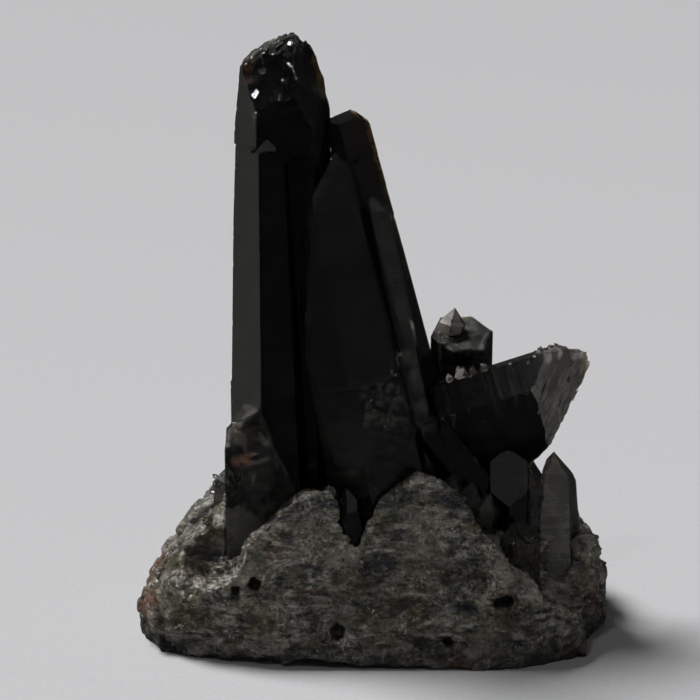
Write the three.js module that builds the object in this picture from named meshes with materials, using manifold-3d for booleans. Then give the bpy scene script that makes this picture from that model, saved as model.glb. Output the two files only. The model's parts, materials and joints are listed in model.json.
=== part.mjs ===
// Morion quartz specimen: a group of near-black quartz crystals standing on the loose block of rock that
// they grew on. Lengths are millimetres, +Z is up, +X is to the right and -Y faces the viewer. The origin
// is at the middle of the specimen's box, on the flat that it rests on.

import * as THREE from "three";
import { ConvexGeometry } from "three/addons/geometries/ConvexGeometry.js";
import { mergeVertices } from "three/addons/utils/BufferGeometryUtils.js";
import Module from "manifold-3d";

const wasm = await Module();
wasm.setup();

// Driving dimensions
const WIDTH = 134; // across the rock, left to right
const DEPTH = 86; // front to back
const HEIGHT = 169; // rest plane to the top of the great crystal
const CUT_LEAN = 16; // degrees that the flat front of the rock leans back
const CUT_FOOT = -43; // where that flat meets the rest plane
const ROCK_DETAIL = 11; // how finely the rough rock is divided
const ROUGHNESS = 2.6; // how far the rock's lumps stand out
const LUMP_SIZE = 13; // distance from one lump to the next
const PIT_RADIUS = 1.9;
const CHIP_RADIUS = 16; // of the chips along the foot of the flat front
const DRUSE_RADIUS = 1.5; // half the width of the small crystals that crust the rock
const GAP = 0.3; // room between a crystal's root and its socket in the rock

// Quartz: the tip faces stand at this angle to the long axis's normal plane
const TIP_SLOPE = THREE.MathUtils.degToRad(51.8);
const SIXTH = Math.PI / 3;

const rad = THREE.MathUtils.degToRad;
const point = (xyz) => new THREE.Vector3(...xyz);

// The convex solid inside a set of planes. Each plane is a unit normal and its distance from the origin.
function insidePlanes(planes) {
  const corners = [];
  const line = new THREE.Vector3();
  for (let i = 0; i < planes.length; i++) {
    for (let j = i + 1; j < planes.length; j++) {
      for (let k = j + 1; k < planes.length; k++) {
        const [a, b, c] = [planes[i], planes[j], planes[k]];
        const det = a.normal.dot(line.crossVectors(b.normal, c.normal));
        if (Math.abs(det) < 1e-6) continue;
        const corner = new THREE.Vector3()
          .addScaledVector(new THREE.Vector3().crossVectors(b.normal, c.normal), a.distance)
          .addScaledVector(new THREE.Vector3().crossVectors(c.normal, a.normal), b.distance)
          .addScaledVector(new THREE.Vector3().crossVectors(a.normal, b.normal), c.distance)
          .divideScalar(det);
        const inside = planes.every((p) => p.normal.dot(corner) <= p.distance + 1e-4);
        const isNew = corners.every((other) => other.distanceTo(corner) > 1e-3);
        if (inside && isNew) corners.push(corner);
      }
    }
  }
  return new ConvexGeometry(corners);
}

// A closed three.js geometry as a solid.
function solidOf(geometry) {
  const bare = geometry.clone();
  for (const name of Object.keys(bare.attributes)) if (name !== "position") bare.deleteAttribute(name);
  const merged = mergeVertices(bare, 1e-4);
  return new wasm.Manifold(
    new wasm.Mesh({
      numProp: 3,
      vertProperties: new Float32Array(merged.attributes.position.array),
      triVerts: new Uint32Array(merged.index.array),
    }),
  );
}

// A solid as a three.js geometry.
function geometryOf(solid) {
  const { vertProperties, triVerts } = solid.getMesh();
  const geometry = new THREE.BufferGeometry();
  geometry.setAttribute("position", new THREE.BufferAttribute(vertProperties, 3));
  geometry.setIndex(new THREE.BufferAttribute(triVerts, 1));
  geometry.computeVertexNormals();
  return geometry;
}

// The faces of one quartz crystal, as planes. foot and tip are the ends of its long axis. sides are the
// distances of its six prism faces from the axis: the first faces the viewer, turned by turn degrees to the
// right, and the rest follow to the right round the axis. drops are how far below the tip each of the six
// tip faces meets the axis, so the largest tip face has the largest drop. taper narrows the prism towards
// its tip, in degrees. cuts are planes that have broken it: a point and a normal.
function crystalFaces(shape, grow = 0) {
  const { foot, tip, turn = 0, sides, drops = [0, 0, 0, 0, 0, 0], taper = 0, cuts = [] } = shape;
  const start = point(foot);
  const axis = point(tip).sub(start);
  const length = axis.length();
  axis.normalize();
  const front = new THREE.Vector3(0, -1, 0).projectOnPlane(axis).normalize();
  const right = new THREE.Vector3().crossVectors(axis, front);
  const faces = { start, axis, prism: [], tips: [], others: [] };
  faces.others.push({ normal: axis.clone().negate(), distance: grow - axis.dot(start) });
  for (let i = 0; i < 6; i++) {
    const angle = rad(turn) + i * SIXTH;
    const outward = front.clone().multiplyScalar(Math.cos(angle)).addScaledVector(right, Math.sin(angle));
    const lean = rad(taper);
    const side = outward.clone().multiplyScalar(Math.cos(lean)).addScaledVector(axis, Math.sin(lean));
    const onSide = start.clone().addScaledVector(outward, Array.isArray(sides) ? sides[i] : sides);
    faces.prism.push({ normal: side, distance: side.dot(onSide) + grow });
    const slope = outward.clone().multiplyScalar(Math.sin(TIP_SLOPE));
    slope.addScaledVector(axis, Math.cos(TIP_SLOPE));
    const onAxis = start.clone().addScaledVector(axis, length - drops[i]);
    faces.tips.push({ normal: slope, distance: slope.dot(onAxis) + grow });
  }
  for (const cut of cuts) {
    const normal = point(cut.normal).normalize();
    faces.others.push({ normal, distance: normal.dot(point(cut.at)) + grow });
  }
  return faces;
}

const wholeCrystal = (faces) => solidOf(insidePlanes([...faces.prism, ...faces.tips, ...faces.others]));
const flipped = ({ normal, distance }) => ({ normal: normal.clone().negate(), distance: -distance });
const moved = ({ normal, distance }, by) => ({ normal, distance: distance + by });

// A step across one prism face: full depth at its upper edge, which is up millimetres along the axis, and
// running out to nothing at run millimetres below it.
function step({ start, axis, prism }, { side, up, depth, run }) {
  const face = prism[side];
  const low = axis.dot(start) + up - run;
  const tilt = Math.atan2(depth, run);
  const inward = face.normal.clone().multiplyScalar(Math.cos(tilt)).addScaledVector(axis, Math.sin(tilt));
  const onFace = start.clone().addScaledVector(axis, up - run);
  onFace.addScaledVector(face.normal, face.distance - face.normal.dot(onFace));
  const floor = { normal: inward, distance: inward.dot(onFace) };
  return solidOf(
    insidePlanes([
      { normal: axis, distance: low + run },
      { normal: axis.clone().negate(), distance: -low },
      flipped(floor),
      moved(face, 2),
      moved(prism[(side + 1) % 6], 4),
      moved(prism[(side + 5) % 6], 4),
    ]),
  );
}

// A ball of flat facets, for the hollow scars where the quartz or the rock has chipped.
function ball({ at, radius }, detail = 4) {
  return solidOf(new THREE.IcosahedronGeometry(radius, detail).translate(...at));
}

// A finished crystal, with its steps and chips.
function crystal(shape) {
  const faces = crystalFaces(shape);
  let solid = wholeCrystal(faces);
  for (const one of shape.steps ?? []) solid = solid.subtract(step(faces, one));
  for (const chip of shape.chips ?? []) solid = solid.subtract(ball(chip));
  return solid;
}

const join = (solids) => solids.reduce((all, next) => all.add(next));
const clump = (shapes) => join(shapes.map(crystal));
// The room that a clump takes up, with the gap round it
const roomFor = (shapes) => join(shapes.map((shape) => wholeCrystal(crystalFaces(shape, GAP))));

// The tall crystals, grown together side by side
const GREAT = {
  foot: [-25.2, 0.5, 18],
  tip: [-25, 0.5, 200],
  sides: [14.6, 15.6, 11.5, 14.6, 13.8, 14.7],
  taper: 1.1,
  cuts: [
    { at: [-36.3, -3, 160.5], normal: [-0.62, -0.15, 0.77] },
    { at: [-31.5, -3, 165.2], normal: [-0.36, -0.1, 0.93] },
    { at: [-23.2, 0, 169.4], normal: [-0.1, 0.25, 1] },
    { at: [0, 0, HEIGHT], normal: [0, 0, 1] },
    { at: [-19.5, 0, 167], normal: [0.62, 0, 0.78] },
    { at: [-15.5, 0, 161], normal: [0.9, 0.1, 0.42] },
    { at: [-13, 0, 152], normal: [0.98, 0, 0.2] },
    { at: [-37.8, 0, 150], normal: [-0.99, 0.1, 0.12] },
    { at: [-33, -13.3, 143.8], normal: [-0.3, -0.86, 0.4] },
    { at: [-24, -13.3, 149], normal: [0, -0.92, 0.39] },
    { at: [-17.2, -13.3, 141.5], normal: [0.58, -0.73, 0.35] },
  ],
  steps: [
    { side: 5, up: 120.5, depth: 0.6, run: 22 },
    { side: 0, up: 118, depth: 0.7, run: 9 },
    { side: 3, up: 96, depth: 1, run: 30 },
    { side: 2, up: 70, depth: 0.8, run: 26 },
  ],
  chips: [
    { at: [-39.5, -16, 158], radius: 9 },
    { at: [-13, -19, 168], radius: 12 },
    { at: [-33, 14, 172], radius: 13 },
  ],
};
const SLENDER = {
  foot: [-27, -14, 30],
  tip: [-29.4, -14, 142.6],
  sides: [6.7, 9.2, 7.4, 8.7, 7.1, 7.1],
  drops: [0, -1.2, 1, 2, 1, 0.5],
  taper: 2,
};
const LEANING = {
  foot: [9.2, -12, 20],
  tip: [-15.4, -10, 138.7],
  turn: 22,
  sides: [15.3, 12.7, 10.6, 10.6, 16.1, 17.7],
  drops: [-14, -5.9, 3, 5, 8, -2.8],
  taper: 2.1,
  cuts: [{ at: [-16.4, -25, 124.9], normal: [-0.97, -0.2, 0.04] }],
  steps: [{ side: 0, up: 56.5, depth: 1.6, run: 19 }],
};
const SLIVER = {
  foot: [20, -9, 24],
  tip: [-1.5, -8, 126],
  turn: 20,
  sides: 4.5,
  taper: 0.3,
};
const RIGHT_TALL = {
  foot: [22.5, 0, 20],
  tip: [-11.1, 2, 160],
  turn: 40,
  sides: [6.3, 9.1, 7.9, 5, 10.4, 9.6],
  taper: 1.5,
  cuts: [
    { at: [-9, -4, 144.4], normal: [-0.02, -0.3, 0.95] },
    { at: [-4, -2, 144.1], normal: [0.5, -0.2, 0.84] },
  ],
  steps: [
    { side: 0, up: 117, depth: 0.5, run: 6 },
    { side: 0, up: 108, depth: 0.6, run: 7 },
    { side: 0, up: 99, depth: 0.6, run: 10 },
    { side: 2, up: 88, depth: 0.7, run: 18 },
  ],
};

// The crystal that reaches out to the right, and the two that stand against it
const SIDE = {
  foot: [20, -4, 56.7],
  tip: [90, -4, 79.8],
  turn: 20,
  sides: [7.1, 17.4, 10, 13, 13.4, 12],
  cuts: [
    { at: [44.1, -14, 71.7], normal: [0.78, -0.63, 0.02] },
    { at: [48.8, -7.8, 81.3], normal: [0.25, 0.04, 0.97] },
    { at: [60.9, 0, 69], normal: [0.79, 0.1, -0.61] },
    { at: [64.5, 0, 78], normal: [0.98, 0.1, -0.13] },
  ],
  chips: [
    { at: [66, -7, 66], radius: 12 },
    { at: [56, 12, 88], radius: 9 },
  ],
};
const BUTTRESS = {
  foot: [42, -9, 25],
  tip: [10, -8, 66],
  turn: 15,
  sides: 7,
};
const WEDGE_POINT = {
  foot: [37, -14, 20],
  tip: [38.2, -14, 58.5],
  turn: 30,
  sides: 5.2,
  cuts: [{ at: [38.5, -19, 40.5], normal: [0, -0.76, 0.65] }],
};

// The broken stub behind, with the pale point beside it
const STUB = {
  foot: [25.3, 14, 24],
  tip: [25.8, 14, 110],
  turn: 10,
  sides: 8,
  cuts: [{ at: [25.4, 6, 78.5], normal: [0.05, -0.34, 0.94] }],
  chips: [
    { at: [21, 9, 87], radius: 7.5 },
    { at: [30, 17, 91], radius: 8 },
  ],
};
const PALE_POINT = {
  foot: [19, 15, 60],
  tip: [23.6, 15, 88.5],
  turn: 20,
  sides: 4.1,
  taper: 1,
};

const LEFT_BROKEN = {
  foot: [-31.7, -17, 16],
  tip: [-31.7, -17, 100],
  turn: -30,
  sides: [9.5, 9.5, 9.7, 9, 9, 9.7],
  cuts: [
    { at: [-32, -20, 68], normal: [0.88, -0.2, 0.43] },
    { at: [-36.5, -20, 63.2], normal: [-0.7, -0.2, 0.68] },
    { at: [-36.5, -26, 49], normal: [-0.1, -0.94, 0.34] },
  ],
  chips: [{ at: [-20.5, -31, 51], radius: 9 }],
};
const FRONT_POINT = {
  foot: [-1.5, -27.5, 19],
  tip: [-7.9, -26, 47],
  turn: 20,
  sides: [5, 3.1, 5, 5, 7.1, 6.4],
  taper: 1,
};
const RIGHT_FOOT = {
  foot: [49.3, -12, 10],
  tip: [50.5, -12, 53.2],
  turn: 5,
  sides: [7, 8.8, 10.8, 6, 6, 7.9],
  taper: 6,
};
const RIGHT_FOOT_TWIN = {
  foot: [46.1, -13, 12],
  tip: [43.8, -13, 48.4],
  turn: 20,
  sides: [4.3, 4.3, 4.3, 4.3, 3, 4.1],
  taper: 1,
};
const ROUNDED = {
  foot: [39.5, -23, 14],
  tip: [41, -25, 39],
  turn: 12,
  sides: [6.2, 6.4, 6, 6, 6, 6.4],
  taper: 4,
  cuts: [{ at: [40.5, -25, 34.5], normal: [0.2, -0.3, 0.93] }],
};
const SHELF = [
  { foot: [18, -20, 30], tip: [22.2, -19, 49.2], turn: 10, sides: 4, taper: 2 },
  { foot: [23, -21, 28], tip: [27.4, -20, 46.8], turn: 25, sides: 4, taper: 2 },
  { foot: [27, -22, 24], tip: [32.2, -21, 44], turn: 0, sides: 4.2, taper: 2 },
];

// The crystals behind the tall ones
const LEFT_REAR = { foot: [-36.2, 11, 20], tip: [-37, 11, 73], turn: 12, sides: 4.6, taper: 0.8 };
const LEFT_LOW = { foot: [-43.6, -6, 20], tip: [-42, -5, 46.5], turn: 25, sides: 3.3, taper: 1 };
const REAR = [
  {
    foot: [-6, 19, 20],
    tip: [-2, 23, 94],
    turn: 18,
    sides: [8.5, 8, 9, 8.5, 8, 9],
    drops: [0, 0, 3, 5, 0, 0],
    taper: 1,
  },
  {
    foot: [6, 26, 16],
    tip: [13, 31, 64],
    turn: 40,
    sides: [6, 6.5, 6, 6, 7, 6],
    drops: [0, 2, 0, 3, 0, 0],
    taper: 1,
  },
  { foot: [-18, 24, 18], tip: [-25, 29, 71], turn: 5, sides: 6.4, drops: [0, 0, 4, 0, 2, 0], taper: 1.5 },
];
const REAR_RIGHT = {
  foot: [41, 19, 12],
  tip: [46, 22, 43],
  turn: 8,
  sides: 5.8,
  drops: [0, 0, 0, 2, 0, 0],
  taper: 2,
};

// A smooth random value from -1 to 1 that varies over about one unit.
function noiseAt({ x, y, z }) {
  const corner = (i, j, k) => {
    const s = Math.sin(i * 127.1 + j * 311.7 + k * 74.7) * 43758.5453;
    return (s - Math.floor(s)) * 2 - 1;
  };
  const ease = (t) => t * t * (3 - 2 * t);
  const [i, j, k] = [x, y, z].map(Math.floor);
  const [u, v, w] = [ease(x - i), ease(y - j), ease(z - k)];
  const mix = THREE.MathUtils.lerp;
  const edge = (dj, dk) => mix(corner(i, j + dj, k + dk), corner(i + 1, j + dj, k + dk), u);
  return mix(mix(edge(0, 0), edge(1, 0), v), mix(edge(0, 1), edge(1, 1), v), w);
}

// How far one can go from a point inside a closed outline, in a direction, before leaving it.
function reach(outline, [startX, startY], dx, dy) {
  let nearest = Infinity;
  outline.forEach(([ax, ay], i) => {
    const [bx, by] = outline[(i + 1) % outline.length];
    const across = dx * (by - ay) - dy * (bx - ax);
    if (Math.abs(across) < 1e-9) return;
    const along = ((ax - startX) * (by - ay) - (ay - startY) * (bx - ax)) / across;
    const onEdge = ((ax - startX) * dy - (ay - startY) * dx) / across;
    if (along > 0 && onEdge >= 0 && onEdge <= 1) nearest = Math.min(nearest, along);
  });
  return nearest;
}

// A lump of rock that fills three outlines: front holds x and z, above holds x and y, beside holds y and z.
// Its edges are rounded where the outlines meet, and its surface is uneven.
function lump({ centre, front, above, beside, shape, detail }) {
  const geometry = new THREE.IcosahedronGeometry(1, detail);
  const places = geometry.attributes.position;
  const [cx, cy, cz] = centre;
  for (let i = 0; i < places.count; i++) {
    const way = new THREE.Vector3().fromBufferAttribute(places, i).multiply(point(shape)).normalize();
    const limits = [
      reach(front, [cx, cz], way.x, way.z),
      reach(above, [cx, cy], way.x, way.y),
      reach(beside, [cy, cz], way.y, way.z),
    ];
    const blunt = limits.reduce((sum, limit) => sum + limit ** -12, 0) ** (-1 / 12);
    const place = point(centre).addScaledVector(way, blunt);
    const coarse = noiseAt(place.clone().divideScalar(LUMP_SIZE));
    const fine = noiseAt(place.clone().divideScalar(LUMP_SIZE / 2.4).addScalar(40));
    place.addScaledVector(way, ROUGHNESS * (0.5 - 1.5 * Math.abs(coarse) + 0.45 * fine));
    places.setXYZ(i, place.x, place.y, place.z);
  }
  return solidOf(geometry);
}

const BODY = {
  centre: [0, 0, 12],
  shape: [67, 43, 30],
  detail: ROCK_DETAIL,
  front: [
    [-65, -8], [-70, 1], [-71, 7], [-68, 13], [-65, 17.5], [-62, 20.5], [-58, 23.5], [-55, 27], [-51, 31.5],
    [-45, 37], [-30, 46], [-10, 45], [6, 43], [20, 40], [32, 34], [44, 29], [54, 29], [60, 29], [66, 22],
    [70.5, 11], [67, -8],
  ],
  above: [
    [-72, -12], [-67, -23], [-54, -33], [-36, -39], [0, -43], [20, -44], [45, -39], [58, -30], [69, -12],
    [71, 5], [65, 21], [52, 33], [31, 42], [0, 46], [-26, 44], [-44, 33], [-57, 17], [-71, 1],
  ],
  beside: [
    [-43, -8], [-45, 4], [-41, 15], [-31, 25], [-21, 35], [-6, 44], [10, 46], [28, 37], [39, 24],
    [46, 9], [44, -8],
  ],
};
const BLOCK = {
  centre: [-5, -30, 10],
  shape: [55, 20, 30],
  detail: 9,
  front: [
    [-59, -8], [-58, 8], [-54, 16], [-43, 25], [-33, 33], [-22, 43.5], [-15, 50], [-9.8, 44],
    [-6.5, 29.5], [-3.5, 29.5], [1.5, 44], [6, 50.5], [13, 53], [19.5, 51], [24.5, 42], [30, 34],
    [37, 28.5], [46, 23], [55, 18.5], [61, 12], [65, 4], [65, -8],
  ],
  above: [
    [-63, -20], [-55, -31.5], [-38, -39], [-10, -43], [20, -45.5], [42, -41], [58, -33], [67, -20], [63, -14],
    [0, -12], [-60, -14],
  ],
  beside: [[-60, -8], [-60, 60], [-29, 60], [-19, 44], [-15, 28], [-13, -8]],
};

// Where the flat front of the rock is, at a place across and up it
const onFront = (x, z) => [x, CUT_FOOT + z * Math.tan(rad(CUT_LEAN)), z];

// The holes in that flat front
const PITS = [
  { at: onFront(-33, 22.5), radius: PIT_RADIUS },
  { at: onFront(-38.2, 21), radius: 0.7 * PIT_RADIUS },
  { at: onFront(-51.9, 15.3), radius: PIT_RADIUS },
  { at: onFront(-10.3, 10.2), radius: 1.1 * PIT_RADIUS },
  { at: onFront(20, 7.7), radius: 0.8 * PIT_RADIUS },
  { at: onFront(34.2, 17.6), radius: 0.9 * PIT_RADIUS },
  { at: onFront(36.4, 17.9), radius: 0.9 * PIT_RADIUS },
];

// The hollows in the rock at the feet of the left broken crystal and the right one
const HOLLOWS = [
  { at: [-46, -31, 31], radius: 11 },
  { at: [53, -29, 25], radius: 12.5 },
];

// Where the foot of the flat front has chipped away: a place across it, and how high the chip reaches
const FOOT_CHIPS = [
  [-46, 4], [-37, 3.2], [-28, 3], [-19, 3.6], [-10, 2.3], [0, 1.8], [10, 1.5], [21, 1.1],
].map(([x, high]) => ({ at: [x, CUT_FOOT - 1, high - CHIP_RADIUS], radius: CHIP_RADIUS }));

function roughRock() {
  const lean = rad(CUT_LEAN);
  const toward = new THREE.Vector3(0, -Math.cos(lean), Math.sin(lean));
  const limits = [
    { normal: point([0, 0, -1]), distance: 0 },
    { normal: point([0, 0, 1]), distance: HEIGHT },
    { normal: point([-1, 0, 0]), distance: WIDTH / 2 },
    { normal: point([1, 0, 0]), distance: WIDTH / 2 },
    { normal: point([0, -1, 0]), distance: DEPTH / 2 },
    { normal: point([0, 1, 0]), distance: DEPTH / 2 },
    { normal: toward, distance: toward.dot(point(onFront(0, 0))) },
  ];
  return lump(BODY).add(lump(BLOCK)).intersect(solidOf(insidePlanes(limits)));
}

// Small crystals that crust the rock round the feet of the large ones, clear of the room that those take.
// Each patch is a middle, a spread across and back, and how many it would hold.
const PATCHES = [
  { x: 24, y: 2, across: 7, back: 9, count: 12 },
  { x: -38, y: 24, across: 5, back: 7, count: 8 },
  { x: 50, y: 27, across: 6, back: 6, count: 8 },
  { x: -4, y: 33, across: 24, back: 5, count: 12 },
  { x: 28, y: 26, across: 10, back: 7, count: 8 },
];

function druse(rock, taken) {
  const surface = new THREE.Mesh(geometryOf(rock), new THREE.MeshBasicMaterial());
  const down = new THREE.Vector3(0, 0, -1);
  const solids = [];
  for (const { x, y, across, back, count } of PATCHES) {
    for (let i = 0; i < count; i++) {
      const turn = i * 2.4;
      const spread = Math.sqrt((i + 0.5) / count);
      const aside = across * spread * Math.cos(turn);
      const over = new THREE.Vector3(x + aside, y + back * spread * Math.sin(turn), HEIGHT);
      const [hit] = new THREE.Raycaster(over, down).intersectObject(surface);
      if (!hit) continue;
      const size = DRUSE_RADIUS * (0.75 + 0.35 * ((i * 5) % 3));
      const lean = new THREE.Vector3(0.3 * Math.sin(i), 0.3 * Math.cos(2 * i), 0.8);
      lean.add(hit.face.normal).normalize();
      const foot = hit.point.clone().addScaledVector(lean, -2);
      const tip = hit.point.clone().addScaledVector(lean, 2.6 * size);
      const small = crystal({ foot: foot.toArray(), tip: tip.toArray(), turn: 25 * i, sides: size });
      if (small.intersect(taken).isEmpty()) solids.push(small);
    }
  }
  return join(solids);
}

const MATERIAL = {
  morion: new THREE.MeshStandardMaterial({ color: 0x17171a, roughness: 0.15, metalness: 0 }),
  rock: new THREE.MeshStandardMaterial({ color: 0x47463f, roughness: 0.75, metalness: 0 }),
};

const specimen = new THREE.Group();
function place(name, solid, material) {
  const mesh = new THREE.Mesh(geometryOf(solid), material);
  mesh.name = name;
  specimen.add(mesh);
}

// The clumps, each in the order in which it gives way to those before it
const CLUMPS = {
  tall_crystals: [GREAT, SLENDER, LEANING, SLIVER, RIGHT_TALL],
  side_crystals: [SIDE, BUTTRESS, WEDGE_POINT],
  stub_crystals: [STUB, PALE_POINT],
  left_broken_crystal: [LEFT_BROKEN],
  front_point_crystal: [FRONT_POINT],
  right_foot_crystals: [RIGHT_FOOT, RIGHT_FOOT_TWIN],
  shelf_crystals: SHELF,
  rounded_crystal: [ROUNDED],
  left_rear_crystal: [LEFT_REAR],
  left_low_crystal: [LEFT_LOW],
  rear_crystals: REAR,
  rear_right_crystal: [REAR_RIGHT],
};

let rooms = null;
for (const [name, shapes] of Object.entries(CLUMPS)) {
  const solid = clump(shapes);
  place(name, rooms ? solid.subtract(rooms) : solid, MATERIAL.morion);
  rooms = rooms ? rooms.add(roomFor(shapes)) : roomFor(shapes);
}
const bare = roughRock();
const chipped = [...HOLLOWS.map((hollow) => ball(hollow, 2)), ...FOOT_CHIPS.map((chip) => ball(chip, 3))];
const holes = join([rooms, ...chipped, ...PITS.map((pit) => ball(pit, 1))]);
place("rock", bare.add(druse(bare, rooms)).subtract(holes), MATERIAL.rock);

export default specimen;
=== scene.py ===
"""Morion quartz specimen: near-black crystals on the block of rock that they grew on."""

import json
import math
from functools import partial

import bmesh
import bpy
import numpy as np
from mathutils import Matrix, Vector
from mathutils.bvhtree import BVHTree

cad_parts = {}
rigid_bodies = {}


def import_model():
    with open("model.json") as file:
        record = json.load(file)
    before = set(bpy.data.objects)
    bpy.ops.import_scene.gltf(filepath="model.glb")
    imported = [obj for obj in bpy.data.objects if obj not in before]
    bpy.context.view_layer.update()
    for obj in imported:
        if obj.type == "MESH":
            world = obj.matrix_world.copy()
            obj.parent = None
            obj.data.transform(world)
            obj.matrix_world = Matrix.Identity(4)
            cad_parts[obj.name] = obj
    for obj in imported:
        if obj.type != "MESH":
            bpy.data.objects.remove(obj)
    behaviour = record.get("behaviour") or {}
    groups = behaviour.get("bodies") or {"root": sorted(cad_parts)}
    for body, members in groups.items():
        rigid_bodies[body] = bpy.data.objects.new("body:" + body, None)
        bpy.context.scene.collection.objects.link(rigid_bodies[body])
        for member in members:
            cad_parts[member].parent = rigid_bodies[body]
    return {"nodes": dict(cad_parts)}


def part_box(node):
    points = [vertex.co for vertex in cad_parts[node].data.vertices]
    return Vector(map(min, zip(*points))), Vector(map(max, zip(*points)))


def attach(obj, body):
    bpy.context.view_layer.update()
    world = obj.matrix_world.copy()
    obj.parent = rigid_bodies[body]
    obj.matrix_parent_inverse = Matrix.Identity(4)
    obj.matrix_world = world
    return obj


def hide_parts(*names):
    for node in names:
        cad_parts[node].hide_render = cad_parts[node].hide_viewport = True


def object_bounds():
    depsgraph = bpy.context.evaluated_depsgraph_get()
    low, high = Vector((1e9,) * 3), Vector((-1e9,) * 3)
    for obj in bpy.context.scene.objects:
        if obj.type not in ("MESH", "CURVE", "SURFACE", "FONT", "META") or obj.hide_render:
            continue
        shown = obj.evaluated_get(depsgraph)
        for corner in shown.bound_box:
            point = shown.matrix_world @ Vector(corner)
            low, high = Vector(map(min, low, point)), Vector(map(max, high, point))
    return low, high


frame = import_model()
cad_low, cad_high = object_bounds()

MM = 0.001
QUARTZ_SLOT = "morion_quartz"
ROCK_SLOT = "matrix_rock"

# The view: how far down the camera looks, how far off it stands and where it aims
VIEW_DOWN = math.radians(14)
VIEW_DISTANCE = 600 * MM
VIEW_AIM = Vector((-6.8, 0, 79.6)) * MM
AHEAD = Vector((0, math.cos(VIEW_DOWN), -math.sin(VIEW_DOWN)))
EYE = VIEW_AIM - AHEAD * VIEW_DISTANCE
LENS = 108.84

WINDOW_FROM = Vector((-0.5, 0.35, 0.95))  # the way to the window, which is the main light
BULB_FROM = Vector((-0.3, -0.7, 0.95))  # where the small lamp is that makes the crystals' fronts glint

IOR_QUARTZ = 1.544
TIP_SLOPE = math.radians(51.8)  # between a tip face and the level across the crystal
NATURAL_WITHIN = math.radians(6)  # a face this close to a natural one has grown so
CUT_LEAN = math.radians(16)  # how far the flat front of the rock leans back
CUT_FOOT = -43 * MM  # where that flat meets the floor
ROCK_GRAIN = 0.78 * MM  # side of the small squares that the rock's surface is divided into
CHIP_MESH = 0.55 * MM  # side of the small squares in a chip's surface
WIDEST_NOTCH = 2.6 * MM  # a chip wider than this is a round shell
MARKS_GRID = 3 * MM  # side of the squares that the crystals' flat faces are divided into
SOCKET_GAP = 0.3 * MM  # room that the frame leaves round each crystal's root
ROUND = 6.28  # about a full turn, in radians


def linked(name, data, group=None):
    """A new object in the scene, or in a group, that shows a mesh, a light or a camera."""
    made = bpy.data.objects.new(name, data)
    (group or bpy.context.scene.collection).objects.link(made)
    return made


def view():
    """The camera, at the photograph's angle."""
    camera = linked("camera", bpy.data.cameras.new("camera"))
    camera.data.lens = LENS
    camera.data.clip_start = 10 * MM
    camera.data.clip_end = 20
    camera.location = EYE
    camera.rotation_euler = AHEAD.to_track_quat("-Z", "Y").to_euler()
    bpy.context.scene.camera = camera


view()


# Colours and materials
def linear(hex_colour):
    """An sRGB hex colour as linear red, green, blue and alpha."""
    channels = [int(hex_colour[i : i + 2], 16) / 255 for i in (1, 3, 5)]
    return [c / 12.92 if c <= 0.04045 else ((c + 0.055) / 1.055) ** 2.4 for c in channels] + [1]


def node(owner, kind, settings=None, **inputs):
    """Adds a shader node to a material or world, with its settings or its operation, and sets its inputs, by
    name or as i0, i1, or links them to an output, or to the first output in use of another node. stops, among
    the settings, are the places and colours of a colour ramp."""
    made = owner.node_tree.nodes.new("ShaderNode" + kind)
    if isinstance(settings, str):
        settings = {"operation": settings}
    for name, value in (settings or {}).items():
        if name == "stops":
            band = made.color_ramp.elements
            while len(band) < len(value):
                band.new(0.5)
            for stop, (place, colour) in zip(band, value):
                stop.position = place
                stop.color = linear(colour)
        else:
            setattr(made, name, value)
    for name, value in inputs.items():
        socket = made.inputs[int(name[1:]) if name[1:].isdigit() else name.replace("_", " ")]
        if isinstance(value, bpy.types.Node):
            value = next(output for output in value.outputs if output.enabled)
        if isinstance(value, bpy.types.NodeSocket):
            owner.node_tree.links.new(value, socket)
        else:
            socket.default_value = linear(value) if isinstance(value, str) else value
    return made


def bare(owner):
    """A material or world, emptied of its nodes, and the function that adds a node to it."""
    owner.use_nodes = True
    owner.node_tree.nodes.clear()
    return owner, partial(node, owner)


def marks_of(add):
    """The four shares that are kept on a mesh for its material."""
    marks = add("Attribute", {"attribute_name": "marks"})
    mark = add("SeparateColor", Color=marks)
    return [mark.outputs[channel] for channel in ("Red", "Green", "Blue")] + [marks.outputs["Alpha"]]


def pattern(size, detail, roughness, distortion=0):
    """The inputs of a noise that repeats about every size millimetres."""
    return {"Scale": 1 / (size * MM), "Detail": detail, "Roughness": roughness, "Distortion": distortion}


def spread(start, end, low=0, high=1):
    """The inputs that turn a value from start to end into one from low to high."""
    return {"From_Min": start, "From_Max": end, "To_Min": low, "To_Max": high}


LINES, RIPPLES = pattern(1.6, 4, 0.6), pattern(1.2, 5, 0.6, 0.9)
CLOUDS, SPECKS = pattern(8, 5, 0.6), pattern(0.8, 4, 0.7)
LINE_DEPTH, RIPPLE_DEPTH, SPECK_DEPTH = 0.03 * MM, 0.4 * MM, 0.07 * MM
LINE_STRETCH = 10  # how many times as wide as high a growth line is
LINE_DUST = 0.045  # how much dust lies in one


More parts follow.
